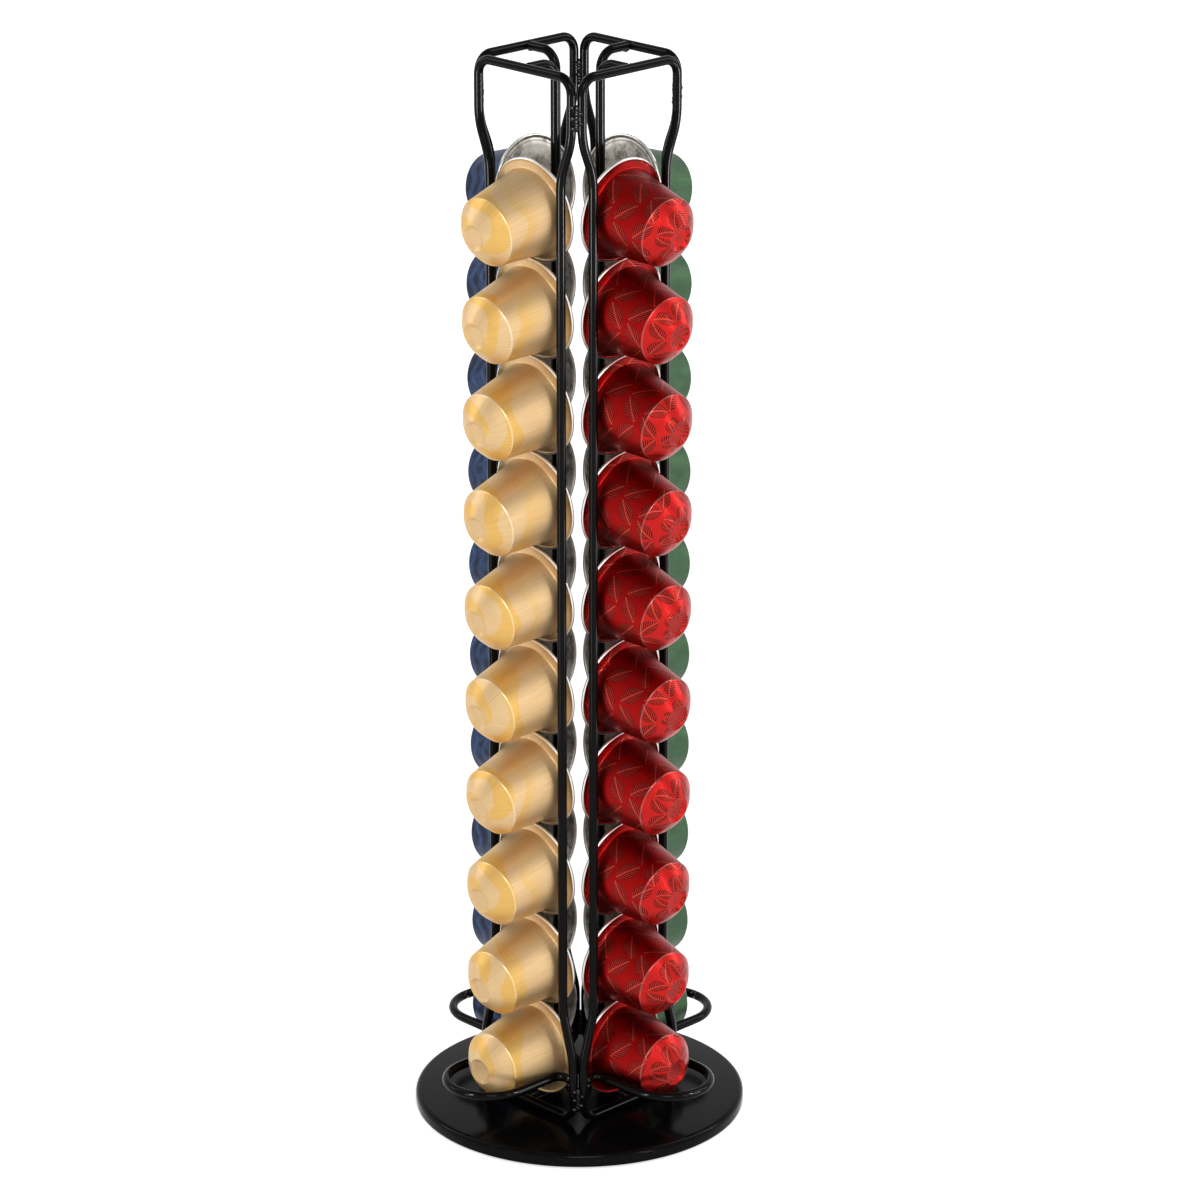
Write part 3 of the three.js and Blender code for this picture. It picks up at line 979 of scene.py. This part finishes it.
def makeCapsuleTree():  # one capsule at each point, laid nose down and turned at random round its axis
    maker = ShapeTree("capsuleColumn", {
        "Capsule": "NodeSocketObject", "Facing": "NodeSocketFloat", "Seed": "NodeSocketInt",
        "Cup": "NodeSocketMaterial", "Curl": "NodeSocketMaterial", "Lid": "NodeSocketMaterial",
    })
    shape = maker.node("GeometryNodeObjectInfo", None, {"Object": maker.given("Capsule")}, "Geometry")
    tilt = maker.join(maker.named("droop") + math.pi / 2, 0.0, maker.given("Facing"))
    laid = maker.node("GeometryNodeInstanceOnPoints", None, {
        "Points": maker.given("Geometry"), "Instance": shape, "Rotation": tilt,
    })
    spin = maker.join(0.0, 0.0, maker.random(0.0, 2 * math.pi, maker.given("Seed")))
    laid = maker.node("GeometryNodeRotateInstances", None, {
        "Instances": laid, "Rotation": spin, "Local Space": True,
    })
    printSeed = maker.random(0.0, 1.0, maker.given("Seed") + capsule["printSeed"])
    laid = maker.node("GeometryNodeStoreNamedAttribute", {"data_type": "FLOAT", "domain": "INSTANCE"}, {
        "Geometry": laid, "Name": "capsuleSeed", "Value": printSeed,
    })
    region = maker.named("region", "INT")
    maker.close(laid, [
        (maker.given("Cup"), None),
        (maker.given("Curl"), region.math("COMPARE", regionNumbers["curl"], 0.5)),
        (maker.given("Lid"), region.math("COMPARE", regionNumbers["lid"], 0.5)),
    ])
    return maker.tree


def lidCentre(column, row):  # from the solid's box, whose top and inner side the rim touches
    droop = capsule["lowestDroop"] if row == 1 else capsule["stackDroop"]
    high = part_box(f"capsule_1_{row:02d}")[1]
    level = high.z - capsule["rimRadius"] * math.cos(droop)
    out = -high.y + capsule["rimRadius"] * math.sin(droop)
    return columnPoint(column, 0, out, level), droop


def capsuleRun(name, column, rows):
    places = [lidCentre(column, row) for row in rows]
    mesh = pathMesh(name, [spot for spot, droop in places], [], "droop", [droop for spot, droop in places])
    return grow(name, mesh, capsuleTree, {
        "Capsule": capsuleModel, "Facing": columnTurn(column),
        "Seed": capsule["seed"] + capsule["columnSeed"] * column + rows[0],
        "Cup": materials[f"{columns[column]}Cup"], "Curl": materials["rimAluminium"],
        "Lid": materials["lidFoil"],
    })


capsuleMesh = turned("capsuleModel", capsuleOutline(), capsule["segments"], False)
capsuleModel = addObject("capsuleModel", capsuleMesh)
capsuleTree = makeCapsuleTree()
for column, colour in columns.items():
    lower = list(range(1, rowCount))
    settle(capsuleRun(f"capsules_{colour}", column, lower), "carousel", f"capsule_{colour}",
           *(f"capsule_{column}_{row:02d}" for row in lower))
    settle(capsuleRun(f"top_capsule_{colour}", column, [rowCount]), f"top_capsule_{column}",
           f"capsule_{colour}", f"capsule_{column}_{rowCount:02d}")
bpy.data.objects.remove(capsuleModel)
print("capsules stacked")


# Floor, light and camera
studio = {
    "floorSize": 3.0, "floorLevel": -0.02 * mm, "floorColour": (0.8, 0.8, 0.8, 1),
    "nearGlow": 0.62, "farGlow": 0.4, "glowRange": (0.3, 1.4),  # metres from the tower
    "horizonSeen": 1.0, "ceilingSeen": 0.5, "horizonLight": 0.32, "ceilingLight": 0.34,
    "horizonRange": (0.9, 0.2),
}
view = {
    "azimuth": 45.73, "distance": 1.588, "height": 0.7426, "tilt": 19.24, "pan": 0.25,
    "lens": 146.3, "sensor": 36,
}
lamps = {  # (azimuth from the camera, elevation, distance, width, height, watts)
    "leftSoftbox": (-104, 34, 1.3, 0.24, 1.3, 4.0),
    "rightSoftbox": (104, 34, 1.3, 0.24, 1.3, 6.0),
    "frontFill": (4, 36, 1.7, 0.6, 0.6, 9.4),
    "leftStrip": (-48, 16, 1.3, 0.1, 1.0, 0.3),
    "rightStrip": (46, 16, 1.3, 0.1, 1.0, 2.8),
}
glints = {  # by finish, (azimuth from the camera, level, level aimed at, distance, width, height, watts)
    "wirePaint": {
        "leftGlint": (-50, 0.14, 0.14, 0.42, 0.1, 0.28, 0.6),
        "rightGlint": (74, 0.14, 0.14, 0.42, 0.14, 0.28, 1.2),
        "leftTopGlint": (-46, 0.25, 0.25, 0.42, 0.05, 0.12, 1.6),
        "rightTopGlint": (62, 0.25, 0.25, 0.42, 0.05, 0.12, 2.0),
    },
    "weldSeam": {"weldGlint": (-12, 0.7, 0.366, 0.6, 0.5, 0.5, 18.0)},
}


def seenRay(maker):  # camera, mirror and glass rays see the white background
    outputs = ("Is Camera Ray", "Is Glossy Ray", "Is Transmission Ray")
    camera, glossy, glass = maker.node("ShaderNodeLightPath", None, None, outputs)
    return camera.math("MAXIMUM", glossy).math("MAXIMUM", glass)


def makeFloor():
    size = studio["floorSize"]
    mesh = bpy.data.meshes.new("floor")
    corners = [(x * size, y * size, studio["floorLevel"]) for x, y in ((-1, -1), (1, -1), (1, 1), (-1, 1))]
    mesh.from_pydata(corners, [], [(0, 1, 2, 3)])
    floor = addObject("floor", mesh)
    material = bpy.data.materials.new("floorPaper")
    maker = emptyTree(material)
    x, y = maker.split(maker.node("ShaderNodeTexCoord", None, None, "Object"), "XY")
    far = maker.smooth(maker.fromAxis(x, y), *studio["glowRange"])
    white = far * studio["farGlow"] + studio["nearGlow"]  # the lamps reach the far floor less
    glow = maker.node("ShaderNodeEmission", None, {"Strength": seenRay(maker) * white})
    matt = maker.node("ShaderNodeBsdfDiffuse", None, {"Color": studio["floorColour"]})
    both = maker.node("ShaderNodeAddShader", None, {0: glow, 1: matt})
    maker.node("ShaderNodeOutputMaterial", None, {"Surface": both})
    mesh.materials.append(material)


def makeWorld():
    world = bpy.data.worlds.new("studio")
    bpy.context.scene.world = world
    maker = emptyTree(world)
    seen = seenRay(maker)
    (height,) = maker.split(maker.node("ShaderNodeTexCoord", None, None, "Generated"), "Z")
    low = maker.smooth(height, *studio["horizonRange"])
    shown = low * (studio["horizonSeen"] - studio["ceilingSeen"]) + studio["ceilingSeen"]
    soft = low * (studio["horizonLight"] - studio["ceilingLight"]) + studio["ceilingLight"]
    strength = seen * shown + (1 - seen) * soft
    sky = maker.node("ShaderNodeBackground", None, {"Color": (1, 1, 1, 1), "Strength": strength})
    maker.node("ShaderNodeOutputWorld", None, {"Surface": sky})


def around(azimuth, elevation, distance):  # a place round the tower, azimuth 0 in front of column 1
    a, e = math.radians(azimuth), math.radians(elevation)
    return Vector((math.sin(a) * math.cos(e), -math.cos(a) * math.cos(e), math.sin(e))) * distance


def addLamp(name, spot, aim, width, height, watts):
    light = bpy.data.lights.new(name, "AREA")
    light.shape = "RECTANGLE"
    light.size, light.size_y = width, height
    light.energy = watts
    lamp = addObject(name, light)
    lamp.visible_camera = False
    lamp.matrix_world = Matrix.LocRotScale(spot, (aim - spot).to_track_quat("-Z", "Y"), None)
    return lamp


def makeLamps():
    middle = (cadBounds[0] + cadBounds[1]) / 2
    for name, (azimuth, elevation, distance, *panel) in lamps.items():
        spot = around(view["azimuth"] + azimuth, elevation, distance)
        addLamp(name, middle + spot, middle, *panel)


def makeGlints():  # small lamps that one finish alone takes, for thin highlights on the black wires
    for finish, group in glints.items():
        takers = bpy.data.collections.new(finish)
        for piece in bpy.data.objects:
            if piece.type == "MESH" and materials[finish] in piece.data.materials[:]:
                takers.objects.link(piece)
        for name, (azimuth, level, aimLevel, distance, *panel) in group.items():
            spot = around(view["azimuth"] + azimuth, 0, distance) + Vector((0, 0, level))
            lamp = addLamp(name, spot, Vector((0, 0, aimLevel)), *panel)
            lamp.light_linking.receiver_collection = takers


def makeCamera():
    a, tilt, pan = (math.radians(view[name]) for name in ("azimuth", "tilt", "pan"))
    eye = Vector((math.sin(a) * view["distance"], -math.cos(a) * view["distance"], view["height"]))
    level = Vector((-math.sin(a), math.cos(a), 0))
    right = Vector((math.cos(a), math.sin(a), 0))
    look = level * math.cos(tilt) - Vector((0, 0, math.sin(tilt)))
    look = look * math.cos(pan) + right * math.sin(pan)
    data = bpy.data.cameras.new("camera")
    data.lens = view["lens"]
    data.sensor_width = view["sensor"]
    camera = addObject("camera", data)
    camera.matrix_world = Matrix.LocRotScale(eye, look.to_track_quat("-Z", "Y"), None)
    bpy.context.scene.camera = camera


makeFloor()
makeWorld()
makeLamps()
makeGlints()
makeCamera()
bpy.context.scene.view_settings.view_transform = "Standard"
print("studio set")
